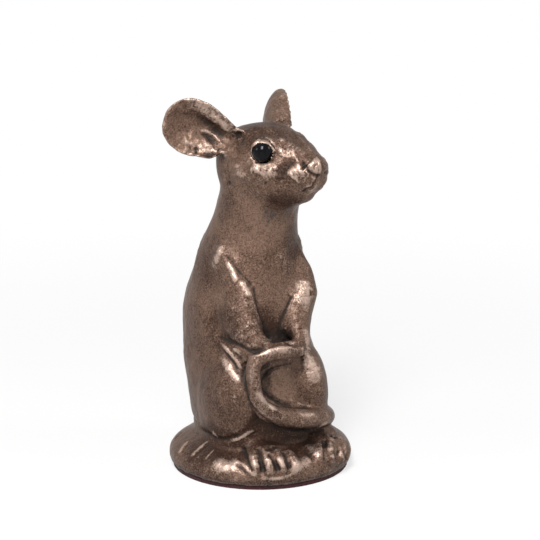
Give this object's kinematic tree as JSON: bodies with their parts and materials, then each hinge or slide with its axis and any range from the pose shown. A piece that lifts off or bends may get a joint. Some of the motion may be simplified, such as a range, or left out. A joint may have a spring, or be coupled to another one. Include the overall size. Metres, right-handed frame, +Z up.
{
  "type": "mouse figurine",
  "caption": "Mouse sitting upright on a round mound with its tail in its paws, cast in bronze-filled resin with glass eyes and a felt pad underneath.",
  "frame": {"origin": "middle of the felt pad's underside, where the ornament stands", "axes": "+Z up through the body and head, the mouse's body faces -Y, the mouse's right side is -X"},
  "size_m": [0.0505, 0.0493, 0.0995],
  "materials": {
    "bronze_resin": "brown bronze patina, burnished on the raised parts",
    "core_resin": "rough stone-filled resin",
    "eye_glass": "polished opaque black",
    "eye_cement": "matt dark putty",
    "adhesive": "dried glue",
    "felt": "burgundy felt"
  },
  "bodies": {
    "root": {"bronze_shell": "bronze_resin", "core_fill": "core_resin", "eye_right": "eye_glass", "eye_left": "eye_glass", "eye_cement_right": "eye_cement", "eye_cement_left": "eye_cement", "pad_adhesive": "adhesive", "felt_pad": "felt"}
  },
  "joints": []
}
